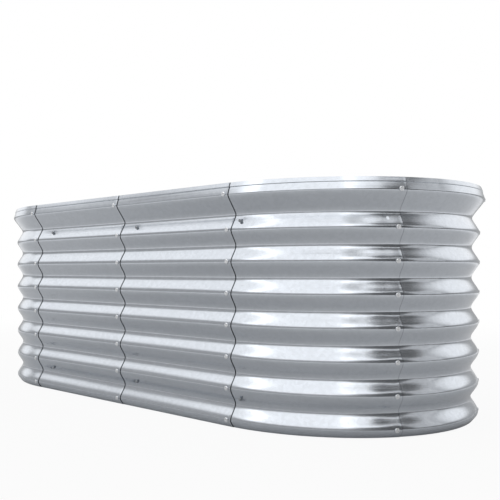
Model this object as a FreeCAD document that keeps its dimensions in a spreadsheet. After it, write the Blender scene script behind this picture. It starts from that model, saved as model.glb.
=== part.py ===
import FreeCAD, Part
import Sketcher
import math
import os

os.makedirs("parts", exist_ok=True)
doc = FreeCAD.newDocument("raised_garden_bed")

# Driving sizes in millimetres and degrees.
SIZES = [
    ("straight_run", 428, "bolt row to bolt row along a straight side panel"),
    ("end_radius", 400, "middle of a half-round end to the faces of its ribs"),
    ("sheet", 0.6, "thickness of the steel sheet"),
    ("rib_pitch", 78, "height from one rib to the next"),
    ("rib_depth", 18.5, "face of a rib to the bottom of a valley"),
    ("rib_land", 12, "flat height on a rib, where the bolt heads sit"),
    ("foot_rise", 18, "ground to the middle of the lowest rib"),
    ("foot_set", 12, "how far the bottom edge turns in from the ribs"),
    ("top_rib_rise", 86, "second rib from the top to the top rib"),
    ("top_rib_drop", 49, "top rib down to the valley under it"),
    ("top_rib_proud", 12, "how far the top rib stands out past the others"),
    ("rim_rise", 28, "middle of the top rib to the rim"),
    ("rim_set", 10, "how far the rim turns in from the top rib"),
    ("hem", 11, "height of the edge folded flat along the rim"),
    ("lap", 13, "bolt row to the edge of the sheet"),
    ("lap_clear", 0.2, "air between a folded edge and the sheet lapped over it"),
    ("seat_clear", 0.001, "air under the nearest edge of a bolt head, nut or rod shoulder"),
    ("fold_angle", 12, "turn of each fold in an end panel"),
    ("head_size", 12, "across a bolt head"),
    ("head_height", 3, "height of a bolt head"),
    ("nut_size", 10, "across the flats of a nut"),
    ("nut_height", 5, "height of a nut"),
    ("rod_size", 12, "diameter of a cross rod"),
    ("rod_tip_size", 8, "diameter of the rod's tip in its hole"),
    ("rod_tip_out", 4, "how far the tip stands out of the sheet"),
    ("rod_hole_clear", 0.2, "air around the tip in its hole"),
    ("rod_off_valley", 16, "rod axis to the bottom of its valley"),
    ("left_rods_past", 90, "left seam to the left pair of rods, along the bed"),
    ("middle_rods_past", 77, "middle seam to the middle pair of rods"),
    ("right_rods_past", 36, "right seam to the right pair of rods"),
    ("spare_hole_before", 21, "spare hole to the seam at the end of its panel"),
]
RIBS = 8
END_PANELS = 3
TOP = RIBS - 1

# What follows from the driving sizes, as formulas.
WORKED_OUT = [
    *((f"rib_level_{i}", f"=sizes.foot_rise + {i} * sizes.rib_pitch", "middle of a rib") for i in range(TOP)),
    (f"rib_level_{TOP}", f"=rib_level_{TOP - 1} + sizes.top_rib_rise", "middle of the top rib"),
    *((f"valley_level_{i}", f"=rib_level_{i} + sizes.rib_pitch / 2", "valley over it") for i in range(TOP - 1)),
    (f"valley_level_{TOP - 1}", f"=rib_level_{TOP} - sizes.top_rib_drop", "valley under the top rib"),
    ("rim_level", f"=rib_level_{TOP} + sizes.rim_rise", "height of the whole bed"),
    ("hem_level", "=rim_level - sizes.hem", "bottom of the folded edge"),
    ("lean_rise", "=sizes.rim_rise - sizes.rib_land / 2", "height of the slope that leans in to the rim"),
    ("hem_foot_in", "=sizes.rim_set * (lean_rise - sizes.hem) / lean_rise", "top rib in to the hem's foot"),
    ("lap_step", "=2 * sizes.sheet + sizes.lap_clear", "outer sheet of a lap past the inner one"),
]


def sheet_of(name, rows):
    """A spreadsheet with a row for each (alias, content, note), and the values of its aliases."""
    sheet = doc.addObject("Spreadsheet::Sheet", name)
    for row, (alias, content, note) in enumerate(rows, start=1):
        sheet.set(f"A{row}", alias)
        sheet.set(f"B{row}", str(content))
        sheet.set(f"C{row}", note)
        sheet.setAlias(f"B{row}", alias)
    doc.recompute()
    return {alias: float(getattr(sheet, alias)) for alias, content, note in rows}


S = sheet_of("sizes", SIZES)
W = sheet_of("worked_out", WORKED_OUT)
end_angle = 180.0 / END_PANELS
lap_step = W["lap_step"]
widest_seat = max(S["head_size"], S["nut_size"] / math.cos(math.radians(30)), S["rod_size"]) / 2
seat = S["seat_clear"] + widest_seat * lap_step / S["straight_run"]  # straight panels tilt by the lap step
Z = FreeCAD.Vector(0, 0, 1)


def outward(angle):
    """The level direction that faces away from the bed at this angle."""
    return FreeCAD.Vector(math.cos(math.radians(angle)), math.sin(math.radians(angle)), 0)


def outer_corners():
    """The outer face of the wall from the ground to the hem, as formulas for (distance out, height)."""
    land = "sizes.rib_land / 2"
    corners = [("=-sizes.foot_set", "=0")]
    for i in range(TOP):
        corners += [("=0", f"=worked_out.rib_level_{i} {side} {land}") for side in "-+"]
        corners.append(("=-sizes.rib_depth", f"=worked_out.valley_level_{i}"))
    corners += [("=sizes.top_rib_proud", f"=worked_out.rib_level_{TOP} {side} {land}") for side in "-+"]
    corners.append(("=sizes.top_rib_proud - worked_out.hem_foot_in", "=worked_out.hem_level"))
    return corners


def shifted(line, distance):
    """The same line moved inward by a distance square to itself, with its ends kept level."""
    runs = [(b[0] - a[0], b[1] - a[1]) for a, b in zip(line, line[1:])]
    normals = [(z / math.hypot(x, z), -x / math.hypot(x, z)) for x, z in runs]
    moved = [(line[0][0] - distance / normals[0][0], line[0][1])]
    for point, before, after in zip(line[1:-1], normals, normals[1:]):
        reach = distance / (1 + before[0] * after[0] + before[1] * after[1])
        moved.append((point[0] - reach * (before[0] + after[0]), point[1] - reach * (before[1] + after[1])))
    moved.append((line[-1][0] - distance / normals[-1][0], line[-1][1]))
    return moved


def out_at(line, z):
    """How far out a line stands at a height."""
    for (x0, z0), (x1, z1) in zip(line, line[1:]):
        if z0 <= z <= z1:
            return x0 + (x1 - x0) * (z - z0) / (z1 - z0)
    raise ValueError(f"no wall at the height {z}")


corner_rows = []
for i, (out, up) in enumerate(outer_corners()):
    corner_rows += [(f"out_{i}", out, "distance out of a corner"), (f"up_{i}", up, "its height")]
C = sheet_of("corners", corner_rows)
face = [(C[f"out_{i}"], C[f"up_{i}"]) for i in range(len(corner_rows) // 2)]
rim_corner = (S["top_rib_proud"] - S["rim_set"], W["rim_level"])
outer = face + [rim_corner]
inner = shifted(face[:-1] + [rim_corner], S["sheet"])
hem_line = shifted([face[-1], rim_corner], -S["sheet"])
outline = face + hem_line + inner[::-1]


def wall_section():
    """The wall's section, the bed's outside towards +X, its corners bound to the sheets."""
    sketch = doc.addObject("Sketcher::SketchObject", "wall_section")
    sketch.Placement = FreeCAD.Placement(FreeCAD.Vector(), FreeCAD.Rotation(FreeCAD.Vector(1, 0, 0), 90))
    points = [FreeCAD.Vector(*corner, 0) for corner in outline]
    lines = [Part.LineSegment(a, b) for a, b in zip(points, points[1:] + points[:1])]
    sketch.addGeometry(lines, False)
    count = len(points)
    level_axis, upright_axis, origin, start, end = -1, -2, (-1, 1), 1, 2
    for i in range(count):
        sketch.addConstraint(Sketcher.Constraint("Coincident", i, end, (i + 1) % count, start))

    def tie(constraint, formula):
        sketch.setExpression(f"Constraints[{sketch.addConstraint(constraint)}]", formula)

    # the outer face, corner by corner
    for i, (out, up) in enumerate(face):
        if out == 0:
            sketch.addConstraint(Sketcher.Constraint("PointOnObject", i, start, upright_axis))
        elif out > 0:
            tie(Sketcher.Constraint("DistanceX", *origin, i, start, out), f"corners.out_{i}")
        else:
            tie(Sketcher.Constraint("DistanceX", i, start, *origin, -out), f"-corners.out_{i}")
        if i == 0:
            sketch.addConstraint(Sketcher.Constraint("PointOnObject", i, start, level_axis))
        else:
            tie(Sketcher.Constraint("DistanceY", *origin, i, start, up), f"corners.up_{i}")
    # the hem: level at its foot, then along the slope behind it and as high as the rim
    foot, hem, rim, ground = len(face) - 1, len(face), len(face) + 1, count - 1
    for level in (foot, rim, ground):
        sketch.addConstraint(Sketcher.Constraint("Horizontal", level))
    sketch.addConstraint(Sketcher.Constraint("Parallel", hem, foot - 1))
    tie(Sketcher.Constraint("Distance", hem, start, foot - 1, S["sheet"]), "sizes.sheet")
    tie(Sketcher.Constraint("DistanceY", *origin, hem, end, W["rim_level"]), "worked_out.rim_level")
    # the inner face: each line one sheet behind its own outer line
    for i in range(foot):
        behind = ground - 1 - i
        sketch.addConstraint(Sketcher.Constraint("Parallel", behind, i))
        tie(Sketcher.Constraint("Distance", behind, start, i, S["sheet"]), "sizes.sheet")
    return sketch


section = wall_section()


def rod_hole(x, z):
    """A cylinder right across the bed, which cuts a rod's holes in both walls."""
    radius = S["rod_tip_size"] / 2 + S["rod_hole_clear"]
    width = 2 * (S["end_radius"] + S["rod_size"])
    return Part.makeCylinder(radius, width, FreeCAD.Vector(x, -width / 2, z), FreeCAD.Vector(0, 1, 0))


def cut_holes(panel, holes):
    """The panel with its holes, named as the panel was."""
    tool = doc.addObject("Part::Feature", "holes_for_" + panel.Name)
    tool.Shape = Part.makeCompound(holes)
    label = panel.Label
    panel.Label = label + "_blank"
    cut = doc.addObject("Part::Cut", label)
    cut.Base = panel
    cut.Tool = tool
    cut.Label = label
    return cut


def straight_panel(name, facing, start):
    """A panel that runs straight from one bolt row to the next, tilted by the lap."""
    panel = doc.addObject("Part::Extrusion", name)
    panel.Label = name
    panel.Base = section
    panel.DirMode = "Custom"
    panel.Dir = FreeCAD.Vector(0, 1, 0)
    panel.setExpression("LengthFwd", "sizes.straight_run + sizes.lap")
    panel.setExpression("LengthRev", "sizes.lap")
    panel.Solid = True
    tilt = math.degrees(math.atan2(lap_step, S["straight_run"]))
    panel.Placement = FreeCAD.Placement(start, FreeCAD.Rotation(Z, facing - tilt))
    return panel


def end_panel(name, centre, start_angle):
    """A panel round a third of an end, folded in small equal turns with a flat at each bolt row."""
    folds = round(end_angle / S["fold_angle"])
    turn = end_angle / folds
    bend = math.radians(turn / 2)
    first = outward(start_angle)
    last = outward(start_angle + end_angle)
    ends = [first * S["end_radius"] - Z.cross(first) * S["lap"]]
    scales = [first]
    for fold in range(folds):
        middle = outward(start_angle + turn * (fold + 0.5))
        near_step = lap_step * fold / folds
        far_step = lap_step * (fold + 1) / folds
        place = middle * (S["end_radius"] + (near_step + far_step) / 2) / math.cos(bend)
        ends.append(place + Z.cross(middle) * (far_step - near_step) / 2 / math.sin(bend))
        scales.append(middle / math.cos(bend))
    ends.append(last * (S["end_radius"] + lap_step) + Z.cross(last) * S["lap"])
    scales.append(last)
    rings = [
        [centre + place + scale * x + Z * z for x, z in outline] for place, scale in zip(ends, scales)
    ]
    faces = [Part.Face(Part.makePolygon(ring + ring[:1])) for ring in (rings[0], rings[-1])]
    corners = len(outline)
    for near, far in zip(rings, rings[1:]):
        for i in range(corners):
            j = (i + 1) % corners
            faces.append(Part.Face(Part.makePolygon([near[i], near[j], far[j], far[i], near[i]])))
    shell = Part.makeShell(faces)
    shell.sewShape()
    solid = Part.makeSolid(shell)
    if solid.Volume < 0:
        solid.reverse()
    panel = doc.addObject("Part::Feature", name)
    panel.Label = name
    panel.Shape = solid
    return panel


# The bed runs anticlockwise seen from above. A panel's end lies over the start of the next one.
half = S["straight_run"]
radius = S["end_radius"]
right_centre = FreeCAD.Vector(half, 0, 0)
left_centre = FreeCAD.Vector(-half, 0, 0)
panels = {
    "front_left_panel": straight_panel("front_left_panel", -90, FreeCAD.Vector(-half, -radius, 0)),
    "front_right_panel": straight_panel("front_right_panel", -90, FreeCAD.Vector(0, -radius, 0)),
    "right_front_panel": end_panel("right_front_panel", right_centre, -90),
    "right_middle_panel": end_panel("right_middle_panel", right_centre, -90 + end_angle),
    "right_back_panel": end_panel("right_back_panel", right_centre, -90 + 2 * end_angle),
    "back_right_panel": straight_panel("back_right_panel", 90, FreeCAD.Vector(half, radius, 0)),
    "back_left_panel": straight_panel("back_left_panel", 90, FreeCAD.Vector(0, radius, 0)),
    "left_back_panel": end_panel("left_back_panel", left_centre, 90),
    "left_middle_panel": end_panel("left_middle_panel", left_centre, 90 + end_angle),
    "left_front_panel": end_panel("left_front_panel", left_centre, 90 + 2 * end_angle),
}

# Cross rods: a tip at each end passes through its hole, and the shoulder rests on the sheet.
rod_levels = {
    "upper": W[f"valley_level_{TOP - 1}"] - S["rod_off_valley"],
    "lower": W["valley_level_0"] + S["rod_off_valley"],
}
rod_places = {
    "left": S["left_rods_past"] - half,
    "middle": S["middle_rods_past"],
    "right": S["right_rods_past"] + half,
}
rod_panels = {
    "left": ("front_left_panel", "back_left_panel"),
    "middle": ("front_right_panel", "back_right_panel"),
    "right": ("right_front_panel", "right_back_panel"),
}
for place, names in rod_panels.items():
    holes = [rod_hole(rod_places[place], z) for z in rod_levels.values()]
    if place == "right":
        spare_angle = -90 + end_angle - math.degrees(S["spare_hole_before"] / S["end_radius"])
        bore = S["rod_tip_size"] / 2 + S["rod_hole_clear"]
        from_here = right_centre + outward(spare_angle) * (S["end_radius"] - 3 * S["rib_depth"])
        from_here += Z * rod_levels["upper"]
        holes.append(Part.makeCylinder(bore, 4 * S["rib_depth"], from_here, outward(spare_angle)))
    for name in names:
        panels[name] = cut_holes(panels[name], holes)
doc.recompute()


def least_out(line, z, reach):
    """The innermost point of a line within a reach above and below a height."""
    inside = [x for x, level in line if abs(level - z) < reach]
    return min(inside + [out_at(line, z - reach), out_at(line, z + reach)])


def wall_from_axis(x, out, side):
    """How far across the bed a wall stands at x. The side is -1 at the front and 1 at the back."""
    turn = end_angle / round(end_angle / S["fold_angle"])
    past = max(x - half, 0.0)
    facet = math.radians(turn * round(math.degrees(math.asin(past / radius)) / turn))
    along = (x + 2 * half) % half / half if past == 0 else math.degrees(facet) / end_angle
    step = lap_step * (along if side < 0 else 1 - along)
    return (radius + out + step - past * math.sin(facet)) / math.cos(facet), math.tan(facet)


def cross_rod(name, x, level):
    """A rod across the bed: a thick middle between the walls and a thin tip through each of them."""
    axis_z = level - S["rod_hole_clear"]
    shoulders, ends = {}, {}
    for side in (-1, 1):
        shoulder, slant = wall_from_axis(x, least_out(inner, axis_z, S["rod_size"] / 2), side)
        shoulders[side] = shoulder - slant * S["rod_size"] / 2 - seat
        ends[side] = wall_from_axis(x, out_at(outer, axis_z), side)[0] + S["rod_tip_out"]
    pieces = []
    for part, size, reach in (("middle", "rod_size", shoulders), ("tips", "rod_tip_size", ends)):
        piece = doc.addObject("Part::Cylinder", f"{name}_{part}")
        piece.setExpression("Radius", f"sizes.{size} / 2")
        piece.Height = reach[-1] + reach[1]
        along = FreeCAD.Rotation(FreeCAD.Vector(1, 0, 0), -90)
        piece.Placement = FreeCAD.Placement(FreeCAD.Vector(x, -reach[-1], axis_z), along)
        pieces.append(piece)
    rod = doc.addObject("Part::MultiFuse", name)
    rod.Shapes = pieces
    rod.Refine = True
    rod.Label = name
    return rod


rods = [
    cross_rod(f"{place}_{level}_rod", rod_places[place], rod_levels[level])
    for place in rod_places
    for level in rod_levels
]

# Seam fasteners: on each rib a head outside and a nut inside, in a row down the middle of the lap.
head = doc.addObject("Part::Prism", "bolt_head")
head.Polygon = 8
head.setExpression("Circumradius", "sizes.head_size / 2")
head.setExpression("Height", "sizes.head_height")
nut = doc.addObject("Part::Prism", "nut")
nut.Polygon = 6
nut.setExpression("Circumradius", "sizes.nut_size / 2 / cos(30 deg)")
nut.setExpression("Height", "sizes.nut_height")
doc.recompute()

seams = {
    "front_left": (FreeCAD.Vector(-half, 0, 0), -90),
    "front_middle": (FreeCAD.Vector(), -90),
    "front_right": (right_centre, -90),
    "right_front": (right_centre, -90 + end_angle),
    "right_back": (right_centre, -90 + 2 * end_angle),
    "back_right": (right_centre, 90),
    "back_middle": (FreeCAD.Vector(), 90),
    "back_left": (left_centre, 90),
    "left_back": (left_centre, 90 + end_angle),
    "left_front": (left_centre, 90 + 2 * end_angle),
}
ribs = [(0.0 if i < TOP else S["top_rib_proud"], W[f"rib_level_{i}"]) for i in range(RIBS)]


def fastener_row(name, master, centre, facing, stand_off):
    """Copies of a fastener down one seam, each at a rib and square to the sheet."""
    copies = []
    for proud, z in ribs:
        at = centre + outward(facing) * (radius + proud + stand_off) + Z * z
        copy = master.Shape.copy()
        copy.Placement = FreeCAD.Placement(at, FreeCAD.Rotation(Z, outward(facing)))
        copies.append(copy)
    row = doc.addObject("Part::Feature", name)
    row.Label = name
    row.Shape = Part.makeCompound(copies)
    return row


rows = []
for name, (centre, facing) in seams.items():
    rows.append(fastener_row(f"{name}_bolts", head, centre, facing, lap_step + seat))
    behind = -S["sheet"] - seat - S["nut_height"]
    rows.append(fastener_row(f"{name}_nuts", nut, centre, facing, behind))
doc.recompute()

nodes = list(panels.values()) + rods + rows
for item in doc.Objects:
    if "Invalid" in item.State or "Error" in item.State:
        raise RuntimeError(f"{item.Label} did not compute: {item.State}")
for node in nodes:
    if node.Shape.isNull() or not node.Shape.isValid():
        raise RuntimeError(f"{node.Label} has no valid shape")
for node in nodes:
    node.Shape.exportStep(f"parts/{node.Label}.step")
print(len(nodes), "nodes; height", W["rim_level"])
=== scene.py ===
import bmesh
import bpy
import math
import numpy as np
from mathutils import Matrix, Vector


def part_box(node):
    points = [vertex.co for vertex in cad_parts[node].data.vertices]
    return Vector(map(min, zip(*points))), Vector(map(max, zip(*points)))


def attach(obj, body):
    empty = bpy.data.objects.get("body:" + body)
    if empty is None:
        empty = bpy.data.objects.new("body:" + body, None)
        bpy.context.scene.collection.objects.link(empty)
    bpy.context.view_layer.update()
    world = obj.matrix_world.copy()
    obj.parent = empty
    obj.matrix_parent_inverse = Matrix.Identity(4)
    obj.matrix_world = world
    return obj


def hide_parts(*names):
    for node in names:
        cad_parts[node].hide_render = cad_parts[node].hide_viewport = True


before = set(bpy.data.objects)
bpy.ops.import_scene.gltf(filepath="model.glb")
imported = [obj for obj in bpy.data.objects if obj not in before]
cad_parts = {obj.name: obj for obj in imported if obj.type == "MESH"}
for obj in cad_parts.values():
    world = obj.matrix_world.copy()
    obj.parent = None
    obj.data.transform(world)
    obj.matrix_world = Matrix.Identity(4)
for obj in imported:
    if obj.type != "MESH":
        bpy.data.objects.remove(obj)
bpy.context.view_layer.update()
mm = 0.001
foldAngle = math.radians(42)  # edges that turn by more are shaded sharp
weldWithin = 0.002 * mm

# The bed as the frame has it: its outline in plan, its ribs and its laps
bed = {
    "straightRun": 428 * mm,  # seam to seam along a straight side panel
    "endRadius": 400 * mm,  # middle of a half-round end to the faces of its ribs
    "height": 600 * mm,
    "ribLevels": [mm * (18 + 78 * i) for i in range(7)] + [572 * mm],
    "valleyLevels": [mm * (57 + 78 * i) for i in range(6)] + [523 * mm],
    "valleyDepth": 18.5 * mm,
    "topRibProud": 12 * mm,
    "footSet": 12 * mm,
    "rimSet": 10 * mm,
    "sheet": 0.6 * mm,
    "lap": 13 * mm,  # bolt row to the edge of the sheet
    "lapStep": 1.4 * mm,  # how far the upper sheet of a lap stands off the lower one
    "rodTip": 8 * mm,
    "rodHole": 8.4 * mm,
    "rodTipOut": 4 * mm,
    "spareHoleBefore": 21 * mm,  # the empty hole to the seam at the end of its panel
}


def linear(hexColour):
    # each sRGB channel to linear: c/12.92 near black, ((c+0.055)/1.055)^2.4 above
    c = np.array([int(hexColour[i:i + 2], 16) for i in (1, 3, 5)]) / 255
    return tuple(np.where(c < 0.04045, c / 12.92, ((c + 0.055) / 1.055) ** 2.4)) + (1.0,)


def addNode(tree, kind, settings=None, inputs=None):
    # one node with its settings, and its sockets set or linked
    node = tree.nodes.new(kind)
    for name, value in (settings or {}).items():
        setattr(node, name, value)
    for name, value in (inputs or {}).items():
        socket = node.inputs[name] if isinstance(name, int) else next(
            i for i in node.inputs if i.name == name and i.enabled)
        if isinstance(value, bpy.types.NodeSocket):
            tree.links.new(value, socket)
        else:
            socket.default_value = value
    return node


def outputOf(node, name):
    # the output in use, where a node has one of the same name for each kind of data
    return next(o for o in node.outputs if o.name == name and o.enabled)


def newMaterial(name):
    material = bpy.data.materials.new(name)
    material.use_nodes = True
    material.node_tree.nodes.clear()
    return material, material.node_tree


def finishMaterial(tree, shader):
    output = addNode(tree, "ShaderNodeOutputMaterial")
    tree.links.new(shader.outputs[0], output.inputs["Surface"])


def gridFaces(rows, columns, loopRows=False, loopColumns=False):
    # quads of a grid of points, row by row; a loop joins its last row or column to its first
    i = np.arange(rows if loopRows else rows - 1)[:, None]
    j = np.arange(columns if loopColumns else columns - 1)[None, :]
    corners = [(i, j), (i + 1, j), (i + 1, j + 1), (i, j + 1)]
    return np.stack([(a % rows) * columns + b % columns for a, b in corners], -1).reshape(-1, 4)


def buildPiece(name, parts, material, uv=None):
    # joins parts, each its points and its quads or triangles, into one smooth-shaded object; points that
    # coincide, as at the poles of a turned shape, become one
    points = np.concatenate([part[0] for part in parts])
    starts = np.cumsum([0] + [len(part[0]) for part in parts])
    faces = [part[1] + start for part, start in zip(parts, starts)]
    corners = np.concatenate([f.ravel() for f in faces]).astype(np.int32)
    sizes = np.concatenate([np.full(len(f), f.shape[1]) for f in faces]).astype(np.int32)
    mesh = bpy.data.meshes.new(name)
    mesh.vertices.add(len(points))
    mesh.vertices.foreach_set("co", points.astype(np.float32).ravel())
    mesh.loops.add(len(corners))
    mesh.loops.foreach_set("vertex_index", corners)
    mesh.polygons.add(len(sizes))
    mesh.polygons.foreach_set("loop_start", (np.cumsum(sizes) - sizes).astype(np.int32))
    mesh.polygons.foreach_set("loop_total", sizes)
    mesh.polygons.foreach_set("use_smooth", np.ones(len(sizes), bool))
    if uv is not None:
        mesh.uv_layers.new(name="UVMap").data.foreach_set("uv", uv[corners].astype(np.float32).ravel())
    mesh.update(calc_edges=True)
    mesh.validate()
    shape = bmesh.new()
    shape.from_mesh(mesh)
    bmesh.ops.remove_doubles(shape, verts=shape.verts, dist=weldWithin)
    shape.to_mesh(mesh)
    shape.free()
    mesh.set_sharp_from_angle(angle=foldAngle)
    mesh.materials.append(material)
    piece = bpy.data.objects.new(name, mesh)
    bpy.context.scene.collection.objects.link(piece)
    return piece


def place(piece, node):
    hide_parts(node)
    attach(piece, "root")


def revolved(outline, around):
    # a profile of (radius, height) rows turned about +Z in equal steps
    turn = np.linspace(0, 2 * np.pi, around, endpoint=False)
    radius, up = outline[:, 0], outline[:, 1]
    points = np.stack([np.outer(radius, np.cos(turn)), np.outer(radius, np.sin(turn)),
                       np.repeat(up[:, None], around, 1)], -1)
    return points.reshape(-1, 3), gridFaces(len(outline), around, loopColumns=True)[:, ::-1]


# distances along the outline, anticlockwise from the left end of the front
halfRun = bed["straightRun"]
endArc = math.pi * bed["endRadius"]
perimeter = 4 * halfRun + 2 * endArc


def stadium(s):
    # place and outward direction at a distance s along the outline, which is a straight, a half circle, a
    # straight and a half circle
    s = np.mod(s, perimeter)
    front = s < 2 * halfRun
    right = (s >= 2 * halfRun) & (s < 2 * halfRun + endArc)
    back = (s >= 2 * halfRun + endArc) & (s < 4 * halfRun + endArc)
    turn = np.select([front, right, back], [0 * s, (s - 2 * halfRun) / bed["endRadius"], 0 * s + math.pi],
                     math.pi + (s - 4 * halfRun - endArc) / bed["endRadius"])
    outward = np.stack([np.sin(turn), -np.cos(turn)], -1)
    along = np.select([front, right, back],
                      [s - halfRun, 0 * s + halfRun, 3 * halfRun + endArc - s], -halfRun)
    return np.stack([along, 0 * s], -1) + bed["endRadius"] * outward, outward


# each panel's node, the seam at its start and its run to the next seam, anticlockwise seen from above
panelOrder = ["front_left", "front_right", "right_front", "right_middle", "right_back",
              "back_right", "back_left", "left_back", "left_middle", "left_front"]
seamOrder = ["front_left", "front_middle", "front_right", "right_front", "right_back",
             "back_right", "back_middle", "back_left", "left_back", "left_front"]
runs = [halfRun if name.startswith(("front", "back")) else endArc / 3 for name in panelOrder]
seamAt = np.cumsum([0] + runs[:-1])


# the wall's section, cut square to the outline
section = {
    "bendSharpness": 0.72,  # 1 folds the ribs sharply; less rounds crests and valleys and bows the slopes
    "topBendSharpness": 0.92,  # the same round the top valley
    "pointsPerSlope": 14,
    "footRounding": 0.25,  # 0 turns sharply from the lowest rib into the foot
    "hemHeight": 11 * mm,
    "hemThick": 1.5 * mm,  # outer face of the folded edge over the sheet's own face
    "hemPoints": 7,  # round each half turn of the fold
    "hemFootDroop": 0.6,  # how far the fold's foot hangs, as a share of its half thickness
    "hemCrown": 0.8,  # how high its turn-over rises, as a share of its half thickness
    "rimCurl": 0.1,  # share of the rim's lean that comes in its last stretch
    "stationGap": 9 * mm,  # between sections along a panel
    "lipFlare": 0.5 * mm,  # the free edge of the upper sheet springs off the lower one
    "lipLength": 8 * mm,
    "lipStations": 5,
}


def bend(t, k):
    # a triangle wave with rounded tips: the arcsine of a cosine shrunken by k, 0 at t=0 and 1 at t=1
    return 0.5 - 0.5 * np.arcsin(k * np.cos(np.pi * t)) / math.asin(k)


def outerFace():
    # (out, up) from the ground to the rim: a hyperbola off the lowest rib, a bend from each
    # extreme to the next, then a parabola that leans in to the rim
    t = np.linspace(0, 1, section["pointsPerSlope"], endpoint=False)
    e = section["footRounding"]
    ribs, valleys = bed["ribLevels"], bed["valleyLevels"]
    fall = (np.sqrt((1 - t) ** 2 + e * e) - e) / (math.sqrt(1 + e * e) - e)
    lines = [np.stack([-bed["footSet"] * fall, ribs[0] * t], -1)]
    tops = [0.0] * (len(ribs) - 1) + [bed["topRibProud"]]
    for i, valley in enumerate(valleys):
        low, high = -bed["valleyDepth"], tops[i + 1]
        way = bend(t, section["topBendSharpness" if valley == valleys[-1] else "bendSharpness"])
        lines.append(np.stack([low * way, ribs[i] + (valley - ribs[i]) * t], -1))
        lines.append(np.stack([low + (high - low) * way, valley + (ribs[i + 1] - valley) * t], -1))
    t = np.linspace(0, 1, 2 * section["pointsPerSlope"])
    lean = bed["rimSet"] * ((1 - section["rimCurl"]) * t + section["rimCurl"] * t ** 2)
    lines.append(np.stack([bed["topRibProud"] - lean, ribs[-1] + (bed["height"] - ribs[-1]) * t], -1))
    return np.concatenate(lines)


def panelSection():
    # a closed loop: the outer face up to the hem, the hem's foot, face and turn-over, then the inner face
    # down; and how many of its points are on the outside
    outer = outerFace()
    step = np.gradient(outer, axis=0)
    square = np.stack([step[:, 1], -step[:, 0]], -1) / np.linalg.norm(step, axis=1, keepdims=True)
    inner = outer - bed["sheet"] * square
    inner[0, 1] = 0
    hemFrom = bed["height"] - section["hemHeight"]
    inHem = outer[:, 1] >= hemFrom
    hem = outer[inHem] + section["hemThick"] * square[inHem]
    half = np.linspace(0, np.pi, section["hemPoints"])[1:-1, None]
    reach = section["hemThick"] / 2
    up = np.array([0, 1])
    droop = up * reach * section["hemFootDroop"] * np.sin(half)
    foot = outer[inHem][0] + square[inHem][0] * reach * (1 - np.cos(half)) - droop
    wide = (section["hemThick"] + bed["sheet"]) / 2
    middle = outer[-1] + square[-1] * (section["hemThick"] - bed["sheet"]) / 2
    turnOver = middle + square[-1] * wide * np.cos(half) + up * wide * section["hemCrown"] * np.sin(half)
    loop = np.concatenate([outer[~inHem], foot, hem, turnOver, inner[::-1]])
    loop[:, 1] *= bed["height"] / loop[:, 1].max()  # the fold's crown is the top of the bed
    return loop, len(loop) - len(inner)


sectionLoop, outerCount = panelSection()
loopLength = np.concatenate([[0], np.cumsum(np.linalg.norm(np.diff(sectionLoop, axis=0), axis=1))])


sheetFinish = {
    "colour": "#D3D8DF",
    "darkCell": "#CDD2D9",
    "cellSize": 7 * mm,  # zinc spangle
    "roughness": 0.17,
    "streakLength": 320 * mm,
    "streakWidth": 5 * mm,  # drawn coarser than the real hairlines, which would not show from here
    "streakHeight": 0.05 * mm,
    "waveLength": 220 * mm,
    "waveHeight": 0.05 * mm,
    # width of the painted shade beside a lapped edge, which stands in for the shadow in the lap's gap
    "paintedShadeWidth": 3.5 * mm,
    "paintedShadeShare": 0.05,  # share of the colour left in the painted shade beside a lapped edge, for the gap's shadow
}


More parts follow.
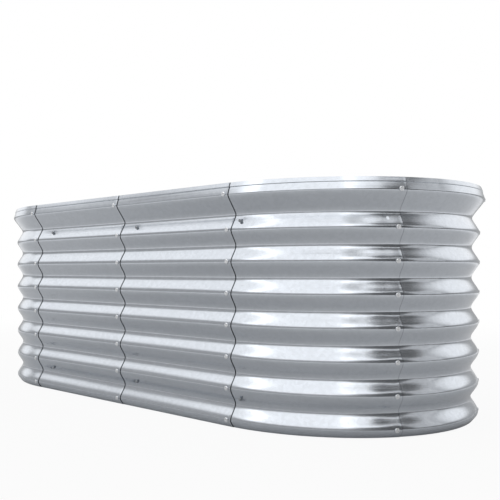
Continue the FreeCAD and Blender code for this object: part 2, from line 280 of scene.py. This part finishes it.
def zincCoatedSheet():
    # zinc-aluminium coated steel, rolled: a tight sheen with faint spangle and long fine streaks from the
    # rollers;
    # beside a lapped edge the colour is darkened by painted shade, which stands in for the shadow in the
    # lap's gap
    material, tree = newMaterial("zincCoatedSheet")
    f = sheetFinish
    uv = addNode(tree, "ShaderNodeUVMap", {"uv_map": "UVMap"}).outputs[0]
    cells = addNode(tree, "ShaderNodeTexVoronoi", {"voronoi_dimensions": "2D"},
                    {"Vector": uv, "Scale": 1 / f["cellSize"]})
    cellShade = addNode(tree, "ShaderNodeSeparateColor", inputs={"Color": cells.outputs["Color"]})
    spangle = addNode(tree, "ShaderNodeMix", {"data_type": "RGBA"}, {
        "Factor": cellShade.outputs[0], "A": linear(f["colour"]), "B": linear(f["darkCell"])})
    # painted shade: dark just past the neighbour's edge, which lies one lap from the seam on the outer face,
    # for the lap gap's shadow
    along = addNode(tree, "ShaderNodeSeparateXYZ", inputs={"Vector": uv})
    shadeFromEdge = addNode(tree, "ShaderNodeMapRange", {"interpolation_type": "SMOOTHSTEP"}, {
        "Value": along.outputs[0], "From Min": bed["lap"], "From Max": bed["lap"] + f["paintedShadeWidth"],
        "To Min": f["paintedShadeShare"], "To Max": 1.0})
    # the painted shade is laid on the outer face only
    outside = addNode(tree, "ShaderNodeMath", {"operation": "LESS_THAN"}, {
        0: along.outputs[1], 1: float(loopLength[outerCount])})
    paintedShadeMix = addNode(tree, "ShaderNodeMix", {"data_type": "RGBA", "blend_type": "MULTIPLY"}, {
        "Factor": outside.outputs[0], "A": outputOf(spangle, "Result"), "B": shadeFromEdge.outputs[0]})
    # roller streaks: noise drawn out along the panel
    longWay = addNode(tree, "ShaderNodeMapping", inputs={
        "Vector": uv, "Scale": (1 / f["streakLength"], 1 / f["streakWidth"], 1)})
    streaks = addNode(tree, "ShaderNodeTexNoise", {"noise_dimensions": "2D"},
                      {"Vector": longWay.outputs[0], "Scale": 1.0, "Detail": 3.0})
    rough = addNode(tree, "ShaderNodeMapRange", inputs={
        "Value": streaks.outputs["Fac"], "From Min": 0.3, "From Max": 0.7,
        "To Min": f["roughness"] - 0.03, "To Max": f["roughness"] + 0.04})
    wide = addNode(tree, "ShaderNodeMapping", inputs={
        "Vector": uv, "Scale": (1 / f["waveLength"], 2 / f["waveLength"], 1)})
    waves = addNode(tree, "ShaderNodeTexNoise", {"noise_dimensions": "2D"},
                    {"Vector": wide.outputs[0], "Scale": 1.0, "Detail": 1.0})
    dents = addNode(tree, "ShaderNodeBump", inputs={
        "Height": waves.outputs["Fac"], "Distance": f["waveHeight"]})
    lines = addNode(tree, "ShaderNodeBump", inputs={
        "Height": streaks.outputs["Fac"], "Distance": f["streakHeight"], "Normal": dents.outputs[0]})
    shader = addNode(tree, "ShaderNodeBsdfPrincipled", inputs={
        "Base Color": outputOf(paintedShadeMix, "Result"), "Metallic": 1.0, "Roughness": rough.outputs[0],
        "Normal": lines.outputs[0]})
    finishMaterial(tree, shader)
    return material


fixingFinish = {"boltColour": "#F2F4F7", "boltRoughness": 0.25, "nutColour": "#A2A6AA", "nutRoughness": 0.34,
                "rodColour": "#A9ADB1", "rodRoughness": 0.3, "grain": 1.2 * mm}


def turnedSteel(name, colour, roughness):
    # zinc-plated or stainless steel with a fine satin grain that breaks its shine up a little
    material, tree = newMaterial(name)
    spot = addNode(tree, "ShaderNodeTexCoord").outputs["Object"]
    grain = addNode(tree, "ShaderNodeTexNoise", inputs={
        "Vector": spot, "Scale": 1 / fixingFinish["grain"], "Detail": 2.0})
    rough = addNode(tree, "ShaderNodeMapRange", inputs={
        "Value": grain.outputs["Fac"], "From Min": 0.3, "From Max": 0.7,
        "To Min": roughness * 0.8, "To Max": roughness * 1.25})
    shader = addNode(tree, "ShaderNodeBsdfPrincipled", inputs={
        "Base Color": linear(colour), "Metallic": 1.0, "Roughness": rough.outputs[0]})
    finishMaterial(tree, shader)
    return material


sheetMaterial = zincCoatedSheet()
boltMaterial = turnedSteel("polishedBoltSteel", fixingFinish["boltColour"], fixingFinish["boltRoughness"])
nutMaterial = turnedSteel("zincPlatedNut", fixingFinish["nutColour"], fixingFinish["nutRoughness"])
rodMaterial = turnedSteel("zincPlatedRod", fixingFinish["rodColour"], fixingFinish["rodRoughness"])


def panelPiece(name, start, run):
    # the section carried along the outline; it drifts outward by one lap step over the panel's run, and its
    # last few millimetres flare by the square of the way into them
    edge = start + run + bed["lap"]
    count = round((edge - start) / section["stationGap"])
    lip = np.linspace(edge - section["lipLength"], edge, section["lipStations"])
    s = np.concatenate([np.linspace(start - bed["lap"], lip[0], count)[:-1], lip])
    count = len(s)
    spot, outward = stadium(s)
    flare = section["lipFlare"] * np.clip((s - lip[0]) / section["lipLength"], 0, 1) ** 2
    out = sectionLoop[None, :, 0] + (bed["lapStep"] * (s - start) / run + flare)[:, None]
    points = np.empty(out.shape + (3,))
    points[..., :2] = spot[:, None] + outward[:, None] * out[..., None]
    points[..., 2] = sectionLoop[None, :, 1]
    n = len(sectionLoop)
    quads = gridFaces(count, n, loopColumns=True)
    # end faces: strips between the outer and the inner line
    a = np.arange(n // 2 - 1)
    cap = np.stack([a, a + 1, n - 2 - a, n - 1 - a], -1)
    uv = np.stack([np.repeat(s - start, n), np.tile(loopLength, count)], -1)
    parts = [(points.reshape(-1, 3), np.concatenate([quads, cap, cap[:, ::-1] + (count - 1) * n]))]
    return buildPiece(name, parts, sheetMaterial, uv)


def cylinderAlong(centre, direction, radius, length, around=32):
    # a closed cylinder with its middle at centre, for a hole's cutter
    profile = np.array([[0, -0.5], [1, -0.5], [1, 0.5], [0, 0.5]]) * [radius, length]
    points, faces = revolved(profile, around)
    d = np.array(direction) / np.linalg.norm(direction)
    side = np.cross([0, 0, 1], d)
    side /= np.linalg.norm(side)
    return points @ np.array([side, np.cross(d, side), d]) + centre, faces


hole = {
    "cutterLength": 80 * mm,
    "fromEnds": 20 * mm,  # a rod's hole is cut in the panel that holds it this far from its ends
    "besideWall": 9 * mm,  # and whose box its tip is this near to
}


def punch(piece, holes):
    # cuts round holes through a panel
    cutter = buildPiece("cutter", holes, sheetMaterial)
    cut = piece.modifiers.new("holes", "BOOLEAN")
    cut.operation = "DIFFERENCE"
    cut.solver = "EXACT"
    cut.object = cutter
    graph = bpy.context.evaluated_depsgraph_get()
    mesh = bpy.data.meshes.new_from_object(piece.evaluated_get(graph))
    mesh.set_sharp_from_angle(angle=foldAngle)
    piece.modifiers.clear()
    piece.data = mesh
    bpy.data.objects.remove(cutter)


rodNodes = [f"{spot}_{level}_rod" for spot in ("left", "middle", "right") for level in ("upper", "lower")]
rodBoxes = {node: (np.array(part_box(node)[0]), np.array(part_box(node)[1])) for node in rodNodes}
for name, start, run in zip(panelOrder, seamAt, runs):
    node = f"{name}_panel"
    piece = panelPiece(node.replace("_panel", "_sheet"), start, run)
    low, high = (np.array(corner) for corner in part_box(node))
    holes = []
    for rodLow, rodHigh in rodBoxes.values():
        middle = (rodLow + rodHigh) / 2
        for y in (rodLow[1], rodHigh[1]):
            alongPanel = low[0] + hole["fromEnds"] < middle[0] < high[0] - hole["fromEnds"]
            if alongPanel and low[1] - hole["besideWall"] < y < high[1] + hole["besideWall"]:
                holes.append(cylinderAlong([middle[0], y, middle[2]], [0, 1, 0], bed["rodHole"] / 2,
                                           hole["cutterLength"]))
    if name == "right_front":
        spot, outward = stadium(np.array([start + run - bed["spareHoleBefore"]]))
        level = rodBoxes["right_upper_rod"]
        centre = np.array([*spot[0], (level[0][2] + level[1][2]) / 2])
        holes.append(cylinderAlong(centre, [*outward[0], 0], bed["rodHole"] / 2, hole["cutterLength"]))
    if holes:
        punch(piece, holes)
    place(piece, node)
print("panels made")


bolt = {
    "size": 12 * mm,
    "height": 2.95 * mm,
    "crown": 0.75,  # share of the height that is domed
    "undercut": 1.3 * mm,
    "neck": 0.7,  # where the neck meets the dome's edge, as a share of the edge's height
    "recessArm": 2.6 * mm, "recessWide": 0.7 * mm, "recessDeep": 1.2 * mm,
    "armSoft": 0.2 * mm, "sideSoft": 0.15 * mm,  # over which the recess's ends and sides slope
    "around": 32, "rings": 11,
}
nut = {
    "size": 10 * mm,
    "height": 5 * mm,
    "corner": 1.06,  # radius at the cone that cuts the corners back, over half the size
    "bevel": 0.08,  # height of each of the cone's two steps, as a share of the height
    "shank": 6 * mm, "shankOut": 1.5 * mm, "shankTip": 0.85,
    "around": 24,
}


def boltHead():
    # height over radius and angle: an elliptic dome with a cross-shaped dip, over a neck set in under it
    b = bolt
    radius = b["size"] / 2 * np.sin(np.linspace(0, np.pi / 2, b["rings"]))[::-1]
    turn = np.linspace(0, 2 * np.pi, b["around"], endpoint=False)
    x, y = np.outer(radius, np.cos(turn)), np.outer(radius, np.sin(turn))
    dome = b["height"] * (1 - b["crown"] + b["crown"] * np.sqrt(1 - (radius / (b["size"] / 2)) ** 2))[:, None]
    short, long = np.minimum(abs(x), abs(y)), np.maximum(abs(x), abs(y))
    inside = 1 / (1 + np.exp(np.maximum((short - b["recessWide"]) / b["sideSoft"],
                                        (long - b["recessArm"]) / b["armSoft"])))
    up = dome + 0 * x - b["recessDeep"] * inside
    rings = np.stack([x, y, up], -1)
    inset = 1 - b["undercut"] / (b["size"] / 2)
    neck = rings[:1] * [[[0, 0, 0]], [[inset, inset, 0]], [[inset, inset, b["neck"]]]]
    points = np.concatenate([neck, rings])
    return points.reshape(-1, 3), gridFaces(len(points), b["around"], loopColumns=True)[:, ::-1]


def hexNut():
    # radius over angle: a hexagon, cut back at both faces by a cone; the shank's end stands out of it
    n = nut
    turn = np.linspace(0, 2 * np.pi, n["around"], endpoint=False)
    flat = n["size"] / 2 / np.cos((turn + np.pi / 6) % (np.pi / 3) - np.pi / 6)
    face, cone = np.minimum(flat, n["size"] / 2), np.minimum(flat, n["size"] / 2 * n["corner"])
    end, out, step = n["shank"] / 2, n["shankOut"] / n["height"], n["bevel"]
    rows = []
    for radius, up in ((0, 0), (face, 0), (cone, step), (flat, 2 * step),
                       (flat, 1 - 2 * step), (cone, 1 - step), (face, 1),
                       (end, 1), (end, 1 + 0.8 * out), (end * n["shankTip"], 1 + out), (0, 1 + out)):
        rows.append(np.stack([radius * np.cos(turn), radius * np.sin(turn), 0 * turn + up * n["height"]], -1))
    return np.concatenate(rows), gridFaces(len(rows), n["around"], loopColumns=True)[:, ::-1]


def fixingRow(name, shape, at, inward, standOff, material):
    # copies of a shape down one seam, one on each rib, its foot on the sheet and its axis square to it
    spot, outward = stadium(np.array([at]))
    spot, outward = spot[0], outward[0]
    axis = np.array([*outward, 0]) * (-1 if inward else 1)
    side = np.cross([0, 0, 1], axis)
    turned = shape[0] @ np.array([side, np.cross(axis, side), axis])
    parts = []
    prouds = [0] * (len(bed["ribLevels"]) - 1) + [bed["topRibProud"]]
    for level, proud in zip(bed["ribLevels"], prouds):
        foot = np.array([*(spot + outward * (proud + standOff)), level])
        parts.append((turned + foot, shape[1]))
    return buildPiece(name, parts, material)


headShape, nutShape = boltHead(), hexNut()
for name, at in zip(seamOrder, seamAt):
    piece = fixingRow(f"{name}_heads", headShape, at, False, bed["lapStep"], boltMaterial)
    place(piece, f"{name}_bolts")
    piece = fixingRow(f"{name}_hex_nuts", nutShape, at, True, -bed["sheet"], nutMaterial)
    place(piece, f"{name}_nuts")
print("bolts and nuts made")


rod = {"size": 12 * mm, "bevel": 0.8 * mm, "shoulderIn": 8 * mm, "shoulderRise": 0.1 * mm, "around": 32}
for node, (low, high) in rodBoxes.items():
    middle, half = (low + high) / 2, (high[1] - low[1]) / 2
    # the shoulder stops short of the sheet's inner face
    shoulder = half - bed["rodTipOut"] - rod["shoulderIn"]
    r, tip, b = rod["size"] / 2, bed["rodTip"] / 2, rod["bevel"]
    toTip = shoulder + rod["shoulderRise"]
    upper = [(r, shoulder - b), (r - b, shoulder), (tip, toTip), (tip, half - b), (tip - b, half), (0, half)]
    profile = [(radius, -up) for radius, up in reversed(upper)] + upper
    points, faces = revolved(np.array(profile), rod["around"])
    points = points[:, [0, 2, 1]] * [1, 1, -1] + middle
    piece = buildPiece(node.replace("_rod", "_bar"), [(points, faces)], rodMaterial)
    place(piece, node)
print("rods made")


# camera: the photograph's view, worked out for its 500 x 500 frame
photo = {"side": 500, "focal": 749.1, "centreX": 157.0, "centreY": 287.2}
viewpoint = {"place": (1.682, -1.756, 0.387), "heading": 0.8393, "tilt": -0.02282}
lens = bpy.data.cameras.new("camera")
lens.sensor_width = 36
lens.lens = photo["focal"] / photo["side"] * lens.sensor_width
lens.shift_x = 0.5 - photo["centreX"] / photo["side"]
lens.shift_y = photo["centreY"] / photo["side"] - 0.5
camera = bpy.data.objects.new("camera", lens)
camera.location = viewpoint["place"]
camera.rotation_euler = (math.pi / 2 + viewpoint["tilt"], 0, viewpoint["heading"])
bpy.context.scene.collection.objects.link(camera)
bpy.context.scene.camera = camera


studio = {
    "floorSize": 9.0,
    "floorColour": "#CFCFCF",
    "floorWhite": 0.93,  # how much of the floor near the bed the camera sees as plain white
    "whiteFrom": 1.4, "whiteAll": 4.0,  # distance from the bed's middle over which that grows to all of it
    "glossWhite": 0.7,  # share of plain white in what the metal shows of the far floor
    "roomLevel": 0.12,
    # soft boxes and lit walls of the room: heading and rise in degrees, anticlockwise from X and up from the
    # ground, the width of their soft edges, and what they add to the room
    "boxes": {
        "walls": {"heading": (50, 335), "rise": (-20, 80), "edge": (40, 20), "level": 0.32},
        "lowRight": {"heading": (14, 42), "rise": (7, 38), "edge": (4, 5), "level": 0.5},
        "right": {"heading": (46, 140), "rise": (12, 64), "edge": (28, 8), "level": 0.72},
        "back": {"heading": (140, 190), "rise": (8, 64), "edge": (12, 8), "level": 0.7},
        "farLeft": {"heading": (190, 207), "rise": (24, 68), "edge": (6, 6), "level": 0.75},
        "left": {"heading": (207, 248), "rise": (32, 68), "edge": (6, 6), "level": 0.75},
        "front": {"heading": (236, 328), "rise": (28, 71), "edge": (16, 8), "level": 0.85},
        "strip": {"heading": (323, 353), "rise": (38, 58), "edge": (8, 4), "level": 1.15},
        "stripOver": {"heading": (323, 350), "rise": (58, 75), "edge": (8, 4), "level": 0.5},
        "stripEnd": {"heading": (350, 363), "rise": (58.5, 69), "edge": (5, 3), "level": 1.15},
        "stripTail": {"heading": (361, 380), "rise": (57.5, 66), "edge": (4, 3), "level": 1.15},
        "tailEnd": {"heading": (0, 33), "rise": (53.5, 62), "edge": (6, 3), "level": 1.0},
        "rimLight": {"heading": (353, 380), "rise": (40.5, 45), "edge": (8, 3), "level": 1.0},
        "rimEnd": {"heading": (0, 16), "rise": (39, 43), "edge": (3, 3), "level": 1.0},
    },
    "firstHeading": 14,  # where the headings start and end, in the dark gap between two boxes
}


def studioFloor():
    size = studio["floorSize"]
    mesh = bpy.data.meshes.new("floor")
    corners = [(-size, -size, 0), (size, -size, 0), (size, size, 0), (-size, size, 0)]
    mesh.from_pydata(corners, [], [(0, 1, 2, 3)])
    floor = bpy.data.objects.new("floor", mesh)
    bpy.context.scene.collection.objects.link(floor)
    material, tree = newMaterial("paleFloor")
    path = addNode(tree, "ShaderNodeLightPath")
    spot = addNode(tree, "ShaderNodeTexCoord").outputs["Object"]
    away = addNode(tree, "ShaderNodeVectorMath", {"operation": "LENGTH"}, {0: spot})
    cameraShare = addNode(tree, "ShaderNodeMapRange", {"interpolation_type": "SMOOTHSTEP"}, {
        "Value": away.outputs["Value"], "From Min": studio["whiteFrom"], "From Max": studio["whiteAll"],
        "To Min": studio["floorWhite"], "To Max": 1.0})
    diffuse = addNode(tree, "ShaderNodeBsdfDiffuse", inputs={"Color": linear(studio["floorColour"])})
    white = addNode(tree, "ShaderNodeEmission", inputs={"Color": (1, 1, 1, 1), "Strength": 1.0})
    metalShare = addNode(tree, "ShaderNodeMapRange", {"interpolation_type": "SMOOTHSTEP"}, {
        "Value": away.outputs["Value"], "From Min": studio["whiteFrom"], "From Max": studio["whiteAll"],
        "To Min": 0.0, "To Max": studio["glossWhite"]})
    mirrored = addNode(tree, "ShaderNodeMath", {"operation": "MAXIMUM"}, {
        0: path.outputs["Is Glossy Ray"], 1: path.outputs["Is Transmission Ray"]})
    gloss = addNode(tree, "ShaderNodeMath", {"operation": "MULTIPLY"}, {
        0: mirrored.outputs[0], 1: metalShare.outputs[0]})
    seen = addNode(tree, "ShaderNodeMath", {"operation": "MULTIPLY_ADD"}, {
        0: path.outputs["Is Camera Ray"], 1: cameraShare.outputs[0], 2: gloss.outputs[0]})
    shader = addNode(tree, "ShaderNodeMixShader", inputs={0: seen.outputs[0], 1: diffuse.outputs[0],
                                                          2: white.outputs[0]})
    finishMaterial(tree, shader)
    mesh.materials.append(material)


def studioWorld():
    # white to the camera; to everything else a plain room with soft boxes on its walls
    world = bpy.data.worlds.new("studio")
    bpy.context.scene.world = world
    world.use_nodes = True
    tree = world.node_tree
    tree.nodes.clear()

    way = addNode(tree, "ShaderNodeTexCoord").outputs["Generated"]
    split = addNode(tree, "ShaderNodeSeparateXYZ", inputs={"Vector": way})
    turn = addNode(tree, "ShaderNodeMath", {"operation": "ARCTAN2"}, {
        0: split.outputs[1], 1: split.outputs[0]})
    degrees = addNode(tree, "ShaderNodeMath", {"operation": "DEGREES"}, {0: turn.outputs[0]})
    heading = addNode(tree, "ShaderNodeMath", {"operation": "WRAP"}, {
        0: degrees.outputs[0], 1: studio["firstHeading"] + 360.0, 2: float(studio["firstHeading"])})
    climb = addNode(tree, "ShaderNodeMath", {"operation": "ARCSINE"}, {0: split.outputs[2]})
    rise = addNode(tree, "ShaderNodeMath", {"operation": "DEGREES"}, {0: climb.outputs[0]})

    def within(angle, limits, edge):
        # 1 between the limits, falling smoothly to 0 over one edge width centred on each
        low, high = limits
        rising = addNode(tree, "ShaderNodeMapRange", {"interpolation_type": "SMOOTHSTEP"}, {
            "Value": angle.outputs[0], "From Min": low - edge / 2, "From Max": low + edge / 2})
        falling = addNode(tree, "ShaderNodeMapRange", {"interpolation_type": "SMOOTHSTEP"}, {
            "Value": angle.outputs[0], "From Min": high - edge / 2, "From Max": high + edge / 2,
            "To Min": 1.0, "To Max": 0.0})
        return addNode(tree, "ShaderNodeMath", {"operation": "MULTIPLY"}, {
            0: rising.outputs[0], 1: falling.outputs[0]})

    level = studio["roomLevel"]
    for box in studio["boxes"].values():
        across = within(heading, box["heading"], box["edge"][0])
        upright = within(rise, box["rise"], box["edge"][1])
        shape = addNode(tree, "ShaderNodeMath", {"operation": "MULTIPLY"}, {
            0: across.outputs[0], 1: upright.outputs[0]})
        level = addNode(tree, "ShaderNodeMath", {"operation": "MULTIPLY_ADD"}, {
            0: shape.outputs[0], 1: box["level"], 2: level}).outputs[0]
    path = addNode(tree, "ShaderNodeLightPath")
    room = addNode(tree, "ShaderNodeBackground", inputs={"Color": (1, 1, 1, 1), "Strength": level})
    white = addNode(tree, "ShaderNodeBackground", inputs={"Color": (1, 1, 1, 1), "Strength": 1.0})
    shader = addNode(tree, "ShaderNodeMixShader", inputs={
        0: path.outputs["Is Camera Ray"], 1: room.outputs[0], 2: white.outputs[0]})
    output = addNode(tree, "ShaderNodeOutputWorld")
    tree.links.new(shader.outputs[0], output.inputs["Surface"])


studioFloor()
studioWorld()
bpy.context.scene.view_settings.view_transform = "Standard"
print("studio set")
